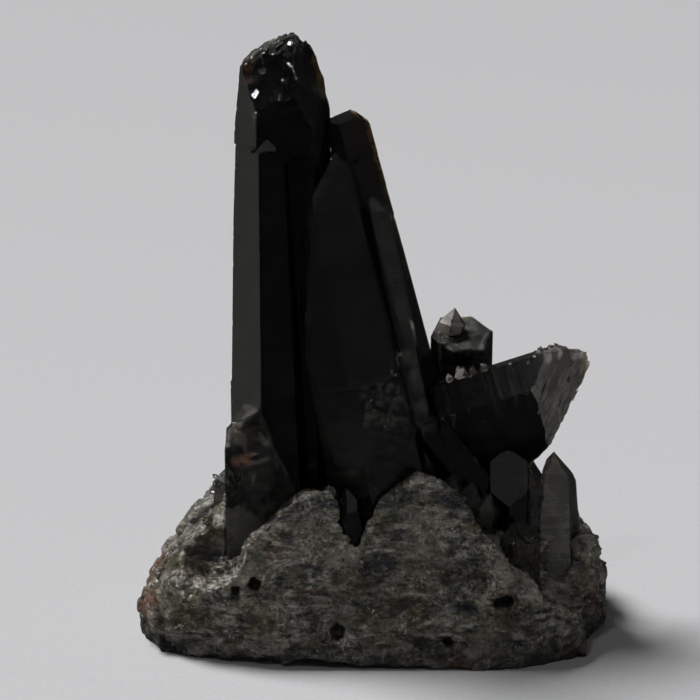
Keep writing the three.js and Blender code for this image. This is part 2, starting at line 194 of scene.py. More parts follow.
def smoky_quartz(name, tint, density, etching):
    """Smoky quartz: natural crystal, glassy and so dark that only thin edges let brown light through. Growth
    has left fine lines across the long faces, breaks are rippled like glass, and etching and dust dull it in
    places."""
    material, add = bare(bpy.data.materials.new(name))
    place = add("TexCoord").outputs["Object"]
    axis = add("Attribute", {"attribute_name": "growth"}).outputs["Vector"]
    broken, film, stain_and_glow, frost = marks_of(add)

    # Growth lines: noise drawn out across the crystal's own axis. A break has ripples instead
    height = add("VectorMath", "DOT_PRODUCT", i0=place, i1=axis)
    flat = add("VectorMath", "SCALE", i0=place, Scale=1 / LINE_STRETCH)
    along = add("VectorMath", "SCALE", i0=axis, Scale=height)
    drawn = add("VectorMath", "ADD", i0=flat, i1=along)
    lines = add("TexNoise", Vector=drawn, **LINES)
    grown = add("Bump", Distance=LINE_DEPTH, Height=lines)
    ripples = add("TexNoise", Vector=place, **RIPPLES)
    relief = add("Bump", Strength=broken, Distance=RIPPLE_DEPTH, Height=ripples, Normal=grown)

    cloud = add("TexNoise", Vector=place, **CLOUDS)
    gloss = add("MapRange", Value=cloud, **spread(0.35, 0.7, 0.02, 0.09))
    glass = add(
        "BsdfPrincipled", Base_Color="#ffffff", Roughness=gloss, IOR=IOR_QUARTZ, Transmission_Weight=1.0,
        Normal=relief,
    )
    # The etched and dusty skin: grey, paler where it is frosted and orange where iron has stained it, in
    # clouds and streaks, and pitted all over. Part of the orange is painted light: the glow of light coming
    # through thin edges, and red glints
    specks = add("TexNoise", Vector=place, **SPECKS)
    pale = add("Mix", {"data_type": "RGBA"}, Factor=frost, i6=etching, i7="#c9c3bc")
    # Orange here is iron stain, and in places painted glow of light through thin edges and painted red glints
    skin = add("Mix", {"data_type": "RGBA"}, Factor=stain_and_glow, i6=pale, i7="#96501f")
    pitted = add("Bump", Distance=SPECK_DEPTH, Height=specks, Normal=relief)
    matt = add("BsdfPrincipled", Base_Color=skin, Roughness=0.42, IOR=IOR_QUARTZ, Normal=pitted)
    patchy = add("MapRange", Value=cloud, **spread(0.35, 0.65, 0.6, 1.4))
    banded = add("MapRange", Value=lines, **spread(0.35, 0.65, 0.8, 1.2))
    uneven = add("Math", "MULTIPLY", i0=patchy, i1=banded)
    # A little dust lies in the growth lines. Where there are none, the axis that a face keeps has no length
    lined = add("VectorMath", "LENGTH", i0=axis)
    most = add("Math", "MULTIPLY", i0=lined, i1=LINE_DUST)
    dusty = add("MapRange", Value=lines, **spread(0.5, 0.68, 0, most))
    share = add("Math", {"operation": "MULTIPLY_ADD", "use_clamp": True}, i0=film, i1=uneven, i2=dusty)
    skinned = add("MixShader", Fac=share, i1=glass, i2=matt)
    smoke = add("VolumeAbsorption", Color=tint, Density=density)
    add("OutputMaterial", Surface=skinned, Volume=smoke)
    return material


# The rock's minerals, from the least to the most of the noise that spreads them in patches
MINERALS = [
    (0.36, "#28242b"), (0.43, "#444346"), (0.48, "#58553f"), (0.53, "#807f79"), (0.59, "#58493d"),
    (0.68, "#302d2e"),
]
LAYERED = (0.5, 0.8, 1.15)  # how closely patches, mottles and blots follow each other across, back and up
PATCHES, MOTTLES, BLOTS = pattern(7, 8, 0.68, 0.6), pattern(2, 5, 0.7, 0.3), pattern(3.4, 7, 0.75, 0.5)
FLECKS, CLUSTERS, VEINS = pattern(0.6, 2, 0.6), pattern(5, 3, 0.6), pattern(11, 3, 0.5, 0.4)
GRAIN = 0.8 * MM
DULL_GRAINS = 0.93  # share of the grains that are dull, where the others are quartz faces that can glint
CRUMBLE, CRUMB_DEPTH = pattern(0.9, 5, 0.7), 0.25 * MM
FLAT_BREAKS = [(2.6 * MM, 1.3), (0.9 * MM, 0.8)]  # small flat breaks: their size and how much they lean


def vein_rock():
    """Vein rock: broken and part weathered, grey mottled with dark, olive and brown, milky in places, with
    quartz grains that glint and many small flat breaks, sharpest on its sawn front."""
    material, add = bare(bpy.data.materials.new("weathered_vein_rock"))
    place = add("TexCoord").outputs["Object"]
    dark, pale, olive, rusty = marks_of(add)
    sharpness = add("Attribute", {"attribute_name": "sharpness"}).outputs["Fac"]

    # Patches of the rock's own minerals, mottled, in level layers
    layered = add("VectorMath", "MULTIPLY", i0=place, i1=LAYERED)
    patch = add("TexNoise", Vector=layered, **PATCHES)
    ground = add("ValToRGB", {"stops": MINERALS}, Fac=patch)
    mottle = add("TexNoise", Vector=layered, **MOTTLES)
    depth = add("MapRange", Value=mottle, **spread(0.38, 0.64, 0.5, 2.4))
    colour = add("VectorMath", "SCALE", i0=ground, Scale=depth)
    # Milky quartz in blots and in clusters of white flecks
    blots = add("TexNoise", Vector=layered, **BLOTS)
    milky = add("MapRange", Value=blots, **spread(0.55, 0.67, 0, 0.6))
    fleck = add("TexNoise", Vector=place, **FLECKS)
    cluster = add("TexNoise", Vector=place, **CLUSTERS)
    crowded = add("Math", "ADD", i0=fleck, i1=cluster)
    flecks = add("MapRange", Value=crowded, **spread(1.17, 1.28, 0, 0.9))
    white = add("Math", "MAXIMUM", i0=milky, i1=flecks)
    # Hair-thin veins of white quartz, along the ridges of a folded noise
    folds = add("TexNoise", {"noise_type": "RIDGED_MULTIFRACTAL"}, Vector=place, **VEINS)
    vein = add("MapRange", Value=folds, **spread(0.86, 1.0, 0, 0.55))
    # The dark share is both dark minerals and painted shade at the rock's foot and in its holes
    stains = [
        (olive, "#57512f"), (rusty, "#7a4e30"), (pale, "#aca594"), (white, "#c4bfb4"), (vein, "#cbc5b6"),
        (dark, "#1e1b1d"),
    ]
    for share, shade in stains:
        colour = add("Mix", {"data_type": "RGBA"}, Factor=share, i6=colour, i7=shade)
    # Grains, each with its own tone, and a few of them clean
    grain = add("TexVoronoi", Vector=place, Scale=1 / GRAIN).outputs["Color"]
    grains = add("SeparateColor", Color=grain)
    tone = add("MapRange", Value=grains.outputs["Green"], **spread(0, 1, 0.78, 1.22))
    grainy = add("VectorMath", "SCALE", i0=colour, Scale=tone)
    clean = add("Math", "GREATER_THAN", i0=grains.outputs["Red"], i1=DULL_GRAINS)
    rough = add("MapRange", Value=clean, **spread(0, 1, 0.42, 0.1))

    # Relief: crumbs on small flat breaks, each of which leans its own way
    crumb = add("TexNoise", Vector=place, **CRUMBLE)
    relief = add("Bump", Strength=sharpness, Distance=CRUMB_DEPTH, Height=crumb)
    for size, steepness in FLAT_BREAKS:
        shards = add("TexVoronoi", Vector=place, Scale=1 / size)
        away = add("VectorMath", "SUBTRACT", i0=place, i1=shards.outputs["Position"])
        lean = add("VectorMath", "SUBTRACT", i0=shards.outputs["Color"], i1=(0.5, 0.5, 0.5))
        height = add("VectorMath", "DOT_PRODUCT", i0=away, i1=lean)
        relief = add("Bump", Strength=sharpness, Distance=steepness, Height=height, Normal=relief)
    stone = add("BsdfPrincipled", Base_Color=grainy, Roughness=rough, IOR=IOR_QUARTZ, Normal=relief)
    add("OutputMaterial", Surface=stone)
    return material


# How dull a crystal's grown and its broken faces are, how pale that makes them, how wavy its breaks are, and
# the way across the streaks on them, where its own row doesn't say
LOOKS = {"film": 0.02, "etched": 0.04, "frost": 0, "ripple": 0.8, "streaks": (0, 0, 0)}


def crystal(foot, tip, turn, taper, width, pointed=True, smooth=(), **looks):
    """One crystal: its long axis, and the ways that its grown faces look, its tip's too where it is pointed.
    width is from its axis to its long faces. smooth are the ways that other flat, clean faces look."""
    start = np.array(foot, float) * MM
    axis = np.array(tip, float) * MM - start
    length = np.linalg.norm(axis)
    axis /= length
    ahead = np.array([0, -1.0, 0])
    ahead -= axis * (ahead @ axis)
    ahead /= np.linalg.norm(ahead)
    right = np.cross(axis, ahead)
    lean = math.radians(taper)
    facings = [np.array(way, float) / np.linalg.norm(way) for way in smooth]
    for sixth in range(6):
        angle = math.radians(turn + 60 * sixth)
        outward = math.cos(angle) * ahead + math.sin(angle) * right
        facings.append(math.cos(lean) * outward + math.sin(lean) * axis)
        if pointed:
            facings.append(math.sin(TIP_SLOPE) * outward + math.cos(TIP_SLOPE) * axis)
    facings = np.array(facings)
    return LOOKS | looks | {
        "start": start, "axis": axis, "length": length, "width": width * MM, "facings": facings,
    }


# The crystals of each clump, as the frame has them. All the tables' places and sizes are in millimetres
CRYSTALS = {
    "tall_crystals": [
        crystal((-25.2, 0.5, 18), (-25, 0.5, 200), 0, 1.1, 14, etched=0.03, ripple=0.05, pointed=False),
        crystal((-27, -14, 30), (-29.4, -14, 142.6), 0, 2, 7.6, film=0.03),
        crystal((9.2, -12, 20), (-15.4, -10, 138.7), 22, 2.1, 13, film=0.05, etched=0.06, ripple=0.5),
        crystal((20, -9, 24), (-1.5, -8, 126), 20, 0.3, 4.5, film=0.2),
        crystal(
            (22.5, 0, 20), (-11.1, 2, 160), 40, 1.5, 8, film=0.04, pointed=False,
            smooth=[(-0.02, -0.3, 0.95), (0.5, -0.2, 0.84)],
        ),
    ],
    "side_crystals": [
        crystal(
            (20, -4, 56.7), (90, -4, 79.8), 20, 0, 12, film=0.03, etched=0.45, frost=0.35, pointed=False,
            streaks=(0.88, 0, -0.47),
        ),
        crystal((42, -9, 25), (10, -8, 66), 15, 0, 7),
        crystal((37, -14, 20), (38.2, -14, 58.5), 30, 0, 5.2, smooth=[(0, -0.76, 0.65)]),
    ],
    "stub_crystals": [
        crystal((25.3, 14, 24), (25.8, 14, 110), 10, 0, 8, etched=0.1, ripple=1, pointed=False),
        crystal((19, 15, 60), (23.6, 15, 88.5), 20, 1, 4.1, film=0.72, frost=0.5),
    ],
    "left_broken_crystal": [
        crystal(
            (-31.7, -17, 16), (-31.7, -17, 100), -30, 0, 9.4, film=0.32, etched=0.08, ripple=1, pointed=False,
        ),
    ],
    "front_point_crystal": [crystal((-1.5, -27.5, 19), (-7.9, -26, 47), 20, 1, 5)],
    "right_foot_crystals": [
        crystal((49.3, -12, 10), (50.5, -12, 53.2), 5, 6, 7.7, film=0.6, frost=0.16),
        crystal((46.1, -13, 12), (43.8, -13, 48.4), 20, 1, 4.1, film=0.2, etched=0.3, frost=0.1),
    ],
    "shelf_crystals": [
        crystal((18, -20, 30), (22.2, -19, 49.2), 10, 2, 4, film=0.25),
        crystal((23, -21, 28), (27.4, -20, 46.8), 25, 2, 4, film=0.25),
        crystal((27, -22, 24), (32.2, -21, 44), 0, 2, 4.2, film=0.25),
    ],
    "rounded_crystal": [
        crystal((39.5, -23, 14), (41, -25, 39), 12, 4, 6.2, film=0.24, etched=0.2, ripple=1, pointed=False),
    ],
    "left_rear_crystal": [crystal((-36.2, 11, 20), (-37, 11, 73), 12, 0.8, 4.6, film=0.5)],
    "left_low_crystal": [crystal((-43.6, -6, 20), (-42, -5, 46.5), 25, 1, 3.3, film=0.6)],
    "rear_crystals": [
        crystal((-6, 19, 20), (-2, 23, 94), 18, 1, 8.5),
        crystal((6, 26, 16), (13, 31, 64), 40, 1, 6.2),
        crystal((-18, 24, 18), (-25, 29, 71), 5, 1.5, 6.4),
    ],
    "rear_right_crystal": [crystal((41, 19, 12), (46, 22, 43), 8, 2, 5.8, film=0.15)],
}

# Thin edges, hollowed from behind so that light comes through: where a row of scoops starts and ends, across
# and up, and a scoop's width and depth
SCOOPS = {
    "tall_crystals": [((-3.6, 143.5), (0, 131), 3, 0.7)],
    "left_broken_crystal": [((-25.6, 36), (-25.4, 46), 4.2, 1.4)],
}
# Thin blades left by a break behind them: a place on the blade's face and the way that it looks, how high the
# break's foot and top are, how far across its inner side is there, how far across its outer side is, how far
# back it goes, and how thick the blade is at its foot and top
BLADES = {
    "tall_crystals": [
        ((-17.2, -13.3, 141.5), (0.58, -0.73, 0.35), (149, 172), (-15, -20.2), -6, 24, (2.1, 1.55)),
    ],
}
# Jagged outlines: points along them, across and up, where they are level with the specimen's middle
JAGGED_OUTLINES = {
    "tall_crystals": [
        (-37.4, 161), (-36, 163), (-33.5, 165.1), (-30.9, 166.7), (-28.1, 168), (-25.8, 169), (-23, 169.6),
        (-21, 168.6), (-19.6, 166.6),
    ],
}
# Where edges are ragged: a place, how far round it, and how dull the chips are there
RAGGED = [
    (-31, 4, 166, 11, 0.3), (28, 7, 78.5, 7.5, 0.08), (59, 0, 76, 9, 0.3), (-35, -17, 61, 7, 0.12),
    (43.5, -14, 47, 5, 0.2),
]
# Pits on the crystals' fronts: the least and the most that they are across and up, how many, their least and
# greatest width and depth, as a share of it, and how dull they are, or 0 for as dull as the other breaks
PITS = {
    "tall_crystals": [
        (-38, 159, -30, 166, 46, 0.7, 2.4, 0.15, 0.4, 0.4),
        (-31, 164, -16, 169, 60, 0.7, 2.4, 0.15, 0.4, 0.3),
        (-24.6, 156, -21, 167, 14, 0.4, 1, 0.15, 0.3, 0.2), (-4, 71, 7, 75.6, 30, 0.6, 1.8, 0.2, 0.4, 0.3),
        (-3, 64, 9, 71, 44, 0.7, 2.5, 0.2, 0.4, 0.25), (-1, 57, 11, 64, 20, 0.6, 2.2, 0.15, 0.35, 0.18),
        (-6, 52, 10, 58, 12, 0.5, 1.6, 0.1, 0.3, 0.2), (-12, 92, 0, 122, 12, 0.4, 1.1, 0.1, 0.2, 0.25),
        (4, 78, 7.4, 82, 14, 0.5, 1.6, 0.15, 0.3, 0.8),
    ],
    "left_broken_crystal": [
        (-42, 41, -27, 64, 120, 1.4, 5, 0.06, 0.18, 0), (-31, 33, -22.5, 50, 60, 1, 3.6, 0.06, 0.2, 0),
        (-41, 51, -33, 62, 24, 0.5, 1.6, 0.12, 0.3, 0.25),
    ],
    "stub_crystals": [
        (28.4, 74, 34, 83, 50, 0.8, 2.6, 0.12, 0.34, 0), (26.6, 71, 34, 75, 34, 0.8, 2.6, 0.12, 0.34, 0),
        (26.6, 72, 34, 79, 20, 0.5, 1.4, 0.12, 0.3, 0.3),
    ],
    "rounded_crystal": [(36, 22, 47, 34, 50, 0.8, 3, 0.1, 0.25, 0)],
    "right_foot_crystals": [(40, 42, 47, 48, 16, 0.6, 1.8, 0.12, 0.3, 0)],
    "side_crystals": [(48, 60, 62, 80, 60, 0.6, 2.6, 0.1, 0.25, 0)],
    "shelf_crystals": [(15, 32, 34, 50, 40, 0.5, 1.5, 0.1, 0.25, 0)],
}
# Bright facets: where each is across and up, and its width
GLINTS = {
    "tall_crystals": [
        (-33.1, 153.4, 3), (-33.6, 149, 0.5), (-32.4, 148.4, 0.7), (-33, 147, 0.5), (-33.6, 162.4, 1),
        (-36.6, 160.9, 0.6), (-22.7, 167, 2), (-24, 165, 0.6), (-23.8, 163.2, 0.5), (-23.4, 161.4, 0.8),
        (-22.6, 160.6, 0.6), (-21.8, 159.4, 0.7), (-21.4, 157.6, 0.6), (-28.8, 166.3, 0.7),
        (-31, 164.2, 0.6), (-4.7, 121, 1), (-3.7, 118.8, 0.9), (2, 97.8, 0.8), (-0.9, 71.3, 1.4),
        (1.4, 71.3, 1.1), (1.1, 68, 1), (3.4, 66.4, 1.4), (-5.4, 64.9, 1), (0.4, 66, 0.9), (5.7, 78.6, 1.4),
        (4.9, 80.3, 1),
    ],
    "left_broken_crystal": [
        (-41.2, 58, 1.4), (-41.2, 43.9, 1.1), (-29, 52, 1.2), (-29.2, 50, 1), (-27.2, 43.6, 1.3),
        (-33, 40, 0.8),
    ],
    "stub_crystals": [
        (27.6, 77.5, 0.8), (30, 78, 1.1), (31.6, 80, 0.9), (28.6, 80.4, 1), (32.6, 78.6, 0.8),
        (29.4, 75.6, 0.7),
    ],
    "rounded_crystal": [(44.6, 29, 1), (46.4, 28.4, 0.9), (41, 31.5, 0.8)],
    "right_foot_crystals": [(56.6, 32, 1), (56.9, 30.4, 0.9)],
    "side_crystals": [(56, 70.6, 1.8), (43, 78.2, 0.9), (52, 77, 1)],
    "shelf_crystals": [(24.4, 33.4, 0.8), (27.5, 33.2, 0.8), (30.5, 33, 0.9), (22, 46, 0.8)],
}
# Blotches on the crystals: a place, how far round it, and how dull, frosted and stained with iron it is
# there.
# Part of the iron is painted light: the amber glow of light through the thin edges of the left broken crystal
# and of the tall crystal's upper left edge, and the red glints on the rounded crystal
BLOTCHES = [
    # Iron stain partly painted glow: the amber of light coming through the left broken crystal's thin edge
    (-38.4, -24.1, 53.6, 2.2, 0.6, 0, 0.8), (-35.6, -24.2, 54.4, 2.4, 0.6, 0, 0.9),
    (-34.3, -23.8, 56, 1.8, 0.6, 0, 0.8), (-36, -22, 60, 5, 0.2, 0, 0.15),
    (-38, -18, 61, 3, 0.25, 0.2, 0.3), (-34, -14, 65, 3, 0.3, 0.1, 0.5),
    # Painted glow: the amber of light coming through the tall crystal's thin upper left edge
    (-34.8, -5.2, 160.2, 2.4, 0.2, 0.05, 0.8), (-34.5, -6.6, 157, 2, 0.18, 0, 0.8),
    (-8.8, -4, 150, 2.4, 0.3, 0, 0.45), (5.6, -24, 79.5, 1.8, 0.9, 0.7, 0), (-9, -25, 60, 14, 0.1, 0, 0),
    (9.5, -13, 81, 3, 0.4, 0.1, 0), (11.5, -13, 74, 3, 0.4, 0.1, 0), (13.5, -13, 67, 3, 0.4, 0.1, 0),
    # On the rounded crystal the iron is partly painted light: its red glints
    (15.2, -13, 61, 3, 0.4, 0.1, 0), (44.5, -30, 27, 3.4, 0.35, 0, 0.75), (40, -30, 29, 3, 0.3, 0, 0.25),
    (42.5, -19, 45.5, 2.6, 0.6, 0.6, 0.08), (49, -7.5, 79, 2.8, 1, 0.8, 0.04),
    (53, -3.5, 79, 3, 1, 0.9, 0.04), (57.3, 2.5, 77.8, 3, 1, 0.9, 0.04), (60, 5, 77, 3, 1, 0.9, 0.04),
    (59.5, 5, 73, 4, 0.7, 0.5, 0), (-33.5, -1, 163, 4.5, 0.55, 0.35, 0.1),
    (-28, 0, 166.6, 4.5, 0.55, 0.35, 0.08), (-22.5, -3, 168, 3, 0.4, 0.2, 0.05),
    (21.5, 12, 84, 5, 0, 0, 0.1), (50, -16, 52, 5, 0.4, 0, 0.25), (43.5, -17, 47, 4, 0.45, 0.1, 0.2),
]
DUST_FROM = np.array([-0.35, -0.85, 0.4])  # the film is thickest on faces that look this way
LEAST_FILM = 0.3  # share of it that lies on the others


# Numbers at many points at once. Noise and facets repeat after so many steps, and are moved by so many
NOISE_STEPS, NOISE_SHIFT = 32, 100.5
FACET_STEPS, FACET_SHIFT = 16, 64
FACET_LEAN, FACET_LEVEL = 0.45, 0.25  # how much the facets lean, and how far they stand out or in


def noise_at(points, size, seed):
    """A smooth random value from -1 to 1 at each point, which varies over about size metres."""
    lattice = np.random.default_rng(seed).uniform(-1, 1, (NOISE_STEPS,) * 3)
    scaled = points / size + NOISE_SHIFT
    cell = np.floor(scaled).astype(int)
    part = scaled - cell
    part = part * part * (3 - 2 * part)
    total = np.zeros(len(points))
    for corner in np.ndindex(2, 2, 2):
        share = np.prod(np.where(np.array(corner) == 1, part, 1 - part), axis=1)
        index = (cell + corner) % NOISE_STEPS
        total += share * lattice[index[:, 0], index[:, 1], index[:, 2]]
    return total


def facets_at(points, size, seed):
    """Flat facets at odd angles, as rock breaks, about size across: how far points stand out, over size."""
    rng = np.random.default_rng(seed)
    grid = (FACET_STEPS,) * 3
    seats = rng.uniform(0, 1, (*grid, 3))
    tilts = rng.normal(0, FACET_LEAN, (*grid, 3))
    levels = rng.uniform(-FACET_LEVEL, FACET_LEVEL, grid)
    scaled = points / size + FACET_SHIFT
    cell = np.floor(scaled).astype(int)
    nearest = np.full(len(points), np.inf)
    height = np.zeros(len(points))
    for offset in np.ndindex(3, 3, 3):
        index = cell + np.array(offset) - 1
        a, b, c = (index % FACET_STEPS).T
        away = scaled - index - seats[a, b, c]
        distance = np.linalg.norm(away, axis=1)
        closer = distance < nearest
        nearest[closer] = distance[closer]
        height[closer] = ((away * tilts[a, b, c]).sum(1) + levels[a, b, c])[closer]
    return height


def layers_at(points, layers):
    """Noises and facets together. A layer is its kind, its height, its size in millimetres and its seed."""
    return sum(height * kind(points, size * MM, seed) for kind, height, size, seed in layers)


def read(items, key, width=1, kind=np.float32):
    """What each of a mesh's vertices, corners or faces holds: one value, or a row of width values."""
    values = np.zeros(len(items) * width, kind)
    items.foreach_get(key, values)
    return values if width == 1 else values.reshape(-1, width).astype(float)


def keep(mesh, name, kind, domain, values):
    """Keeps a value, a vector or a colour at each of a mesh's vertices, corners or faces."""
    key = {"FLOAT_COLOR": "color", "FLOAT_VECTOR": "vector"}.get(kind, "value")
    values = np.asarray(values).astype(np.int32 if kind == "INT" else np.float32)
    mesh.attributes.new(name, kind, domain).data.foreach_set(key, values.ravel())


# Meshes and objects
def mesh_of(name, corners, faces):
    """A new mesh."""
    mesh = bpy.data.meshes.new(name)
    mesh.from_pydata(corners, [], faces)
    return mesh


def copy_of(name):
    """A new object with a copy of a frame node's mesh, whose faces are joined at their corners."""
    joined = bmesh.new()
    joined.from_mesh(frame["nodes"][name].data)
    bmesh.ops.remove_doubles(joined, verts=joined.verts, dist=0.002 * MM)
    mesh = bpy.data.meshes.new("draft_" + name)
    joined.to_mesh(mesh)
    joined.free()
    return linked("draft_" + name, mesh)


def worked(shape, name, kind, **settings):
    """A new object with the mesh that a modifier makes of a shape. The shape itself goes."""
    modifier = shape.modifiers.new("work", kind)
    for key, value in settings.items():
        setattr(modifier, key, value)
    bpy.context.view_layer.update()
    mesh = bpy.data.meshes.new_from_object(shape.evaluated_get(bpy.context.evaluated_depsgraph_get()))
    bpy.data.objects.remove(shape)
    mesh.name = name
    return linked(name, mesh)


def finished(piece, material, slot, crease, *replaced, flat=None):
    """Gives a piece its material and place. Edges sharper than crease stay sharp, and those of flat faces."""
    piece.data.materials.clear()
    piece.data.materials.append(material)
    piece.data.shade_smooth()
    piece.data.set_sharp_from_angle(angle=math.radians(crease))
    if flat is not None:
        piece.data.polygons.foreach_set("use_smooth", ~flat)
    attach(piece, "root")
    if replaced:
        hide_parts(*replaced)


def tree_of(mesh):
    """A mesh's surface, for asking how near a point is to it or where a ray meets it."""
    return BVHTree.FromPolygons([v.co for v in mesh.vertices], [p.vertices for p in mesh.polygons])


SURFACES = {name: tree_of(frame["nodes"][name].data) for name in ("rock", *CRYSTALS)}


# Crystals
NO_MATCH = 0.6  # how much further off, in widths, a crystal counts as where none of its faces match


def owners(mesh, crystals):
    """Which crystal each of a mesh's faces is on, and whether the face has grown so or is broken."""
    middles, facings = read(mesh.polygons, "center", 3), read(mesh.polygons, "normal", 3)
    reach = []
    matches = []
    for one in crystals:
        from_start = middles - one["start"]
        along = from_start @ one["axis"]
        beside = np.linalg.norm(from_start - along[:, None] * one["axis"], axis=1)
        past = np.clip(along - one["length"], 0, None) + np.clip(-along, 0, None)
        matches.append((facings @ one["facings"].T).max(1) > math.cos(NATURAL_WITHIN))
        reach.append((beside + past) / one["width"] + NO_MATCH * ~matches[-1])
    nearest = np.array(reach).argmin(0)
    return nearest, np.array(matches)[nearest, np.arange(len(nearest))]


def cutter(group, corners, faces, dull=0):
    """A new shape to cut out of a clump, in its group. dull, unless it is 0, is how dull the cut is."""
    mesh = mesh_of("cutter", corners, faces)
    mesh.attributes.new("crystal", "INT", "FACE")
    keep(mesh, "dull", "FLOAT", "FACE", [dull] * len(faces))
    linked("cutter", mesh, group)
    return mesh


CHIP_SIDE = 1.2 * CHIP_MESH  # how long those squares are round a chip's rim
CHIP_WOBBLE = 0.07  # how far from round its rim is
NOTCH_LID, SHELL_LID, FACET_LID = 0.55, 0.9, 1.05  # how far out or up the lids are, as shares


def chip(group, rng, place, outward, width, depth, clearance, kind=None, dull=0):
    """A hollow to cut with, closed by a flat lid clearance above the surface. It is a shallow round shell, a
    notch of four to six flat sides where it is narrow and kind is not given, or a facet, nearly flat with
    upright sides."""
    if (kind or ("notch" if width < WIDEST_NOTCH else "shell")) == "notch":
        sides = rng.integers(4, 7)
        profile = [(width / 2, 0), (width * NOTCH_LID, min(clearance, width / 2))]
    else:
        radius = (width * width / 4 + depth * depth) / (2 * depth)
        rim = width / 2
        if kind != "facet":
            clearance = min(clearance, SHELL_LID * (radius - depth))
            rim = math.sqrt(2 * radius * (depth + clearance) - (depth + clearance) ** 2)
        rings = max(3, round(rim / CHIP_MESH))
        sides = max(9, round(ROUND * rim / CHIP_SIDE))
        steps = [rim * (ring + 1) / rings for ring in range(rings)]
        profile = [(away, radius - math.sqrt(radius * radius - away * away) - depth) for away in steps]
        if kind == "facet":
            profile.append((FACET_LID * rim, clearance))
    wobble = rng.uniform(-CHIP_WOBBLE, CHIP_WOBBLE, 3)
    corners = [(0, 0, -depth)]
    for away, up in profile:
        for side in range(sides):
            angle = 2 * math.pi * side / sides
            out = 1 + sum(share * math.cos(turns * angle + turns) for turns, share in enumerate(wobble, 1))
            corners.append((away * out * math.cos(angle), away * out * math.sin(angle), up))
    corners.append((0, 0, profile[-1][1]))
    last = len(corners) - 1
    faces = []
    for side in range(sides):
        after = (side + 1) % sides
        faces.append((0, 1 + after, 1 + side))
        for inner in range(1, last - sides, sides):
            faces.append((inner + side, inner + after, inner + sides + after, inner + sides + side))
        faces.append((last - sides + side, last - sides + after, last))
    turn = Vector(outward).to_track_quat("Z", "Y").to_matrix().to_4x4()
    spin = Matrix.Rotation(rng.uniform(0, ROUND), 4, "Z")
    cutter(group, corners, faces, dull).transform(Matrix.Translation(place) @ turn @ spin)


def hidden_in_rock(place):
    """Whether a place on a crystal is in its socket in the rock."""
    return SURFACES["rock"].find_nearest(place, 2.5 * SOCKET_GAP)[0] is not None


# Chips between two grown faces, a grown and a broken one, and two broken ones: how far apart they are, and
# their least and greatest width and depth, as a share of it
NICKS = [(8, 0.6, 1.8, 0.08, 0.16)]
RIM_CHIPS = [(4, 1.4, 3.6, 0.08, 0.16), (1.3, 0.5, 1.5, 0.16, 0.3)]
RIDGE_CHIPS = [(5, 1.2, 3, 0.08, 0.16), (4, 0.5, 1.4, 0.14, 0.28)]
RAGGED_CHIPS = (0.7, 1.1, 2.5, 0.3, 0.5)
BOWLS = (3.8, 2.5, 8, 0.03, 0.07)  # the same for the bowls that lie over the broken faces
CHIPPED_FROM = math.radians(14)  # a blunter edge has no chips
RAY_FROM = 200 * MM  # how far off the clumps' surfaces are looked for from


def ragged_at(place):
    """How dull the chips are at a place where the edges are ragged, or 0 where they aren't."""
    for *middle, radius, dull in RAGGED:
        if (place - Vector(middle) * MM).length < radius * MM:
            return dull
    return 0


def chip_edges(bare, layer, rng, group):
    """Chips along the crystals' edges: many where a face is broken, few and small between grown faces."""
    for edge in bare.edges:
        if len(edge.link_faces) != 2 or not edge.is_convex:
            continue
        one, other = edge.link_faces
        if one.normal.angle(other.normal) < CHIPPED_FROM:
            continue
        breaks = (one[layer] < 0) + (other[layer] < 0)
        start, end = (corner.co for corner in edge.verts)
        for tier in (NICKS, RIM_CHIPS, RIDGE_CHIPS)[breaks] + [RAGGED_CHIPS]:
            pitch, least, most, shallow, deep = tier
            for _ in range(int((end - start).length / (pitch * MM) + rng.uniform(0, 1))):
                place = start.lerp(end, rng.uniform(0, 1))
                dull = ragged_at(place) if tier is RAGGED_CHIPS and breaks else 0
                if hidden_in_rock(place) or (tier is RAGGED_CHIPS and not dull):
                    continue
                outward = (one.normal + other.normal).normalized() + Vector(rng.normal(0, 0.25, 3))
                width = rng.uniform(least, most) * MM
                depth = width * rng.uniform(shallow, deep)
                chip(group, rng, place, outward, width, depth, 0.5 * MM, dull=dull)


def chip_faces(bare, layer, crystals, rng, group):
    """Bowls side by side over the broken faces, as quartz breaks."""
    pitch, least, most, shallow, deep = BOWLS
    for face in bare.faces:
        if face[layer] >= 0:
            continue
        ripple = crystals[-face[layer] - 1]["ripple"]
        corners = [corner.co for corner in face.verts]
        for _ in range(int(ripple * face.calc_area() / (pitch * MM) ** 2 + rng.uniform(0, 1))):
            shares = rng.dirichlet([0.7] * len(corners))
            place = sum((Vector(co) * share for co, share in zip(corners, shares)), Vector())
            if hidden_in_rock(place):
                continue
            outward = face.normal + Vector(rng.normal(0, 0.15, 3))
            width = rng.uniform(least, most) * MM
            chip(group, rng, place, outward, width, width * rng.uniform(shallow, deep), 0.35 * MM)


def surface_at(name, across, up, behind=False):
    """The place and facing of a clump's surface that is met first from the front, or from behind."""
    start = Vector((across * MM, RAY_FROM if behind else -RAY_FROM, up * MM))
    return SURFACES[name].ray_cast(start, Vector((0, -1 if behind else 1, 0)))[:2]


BLADE_LEVELS = 9


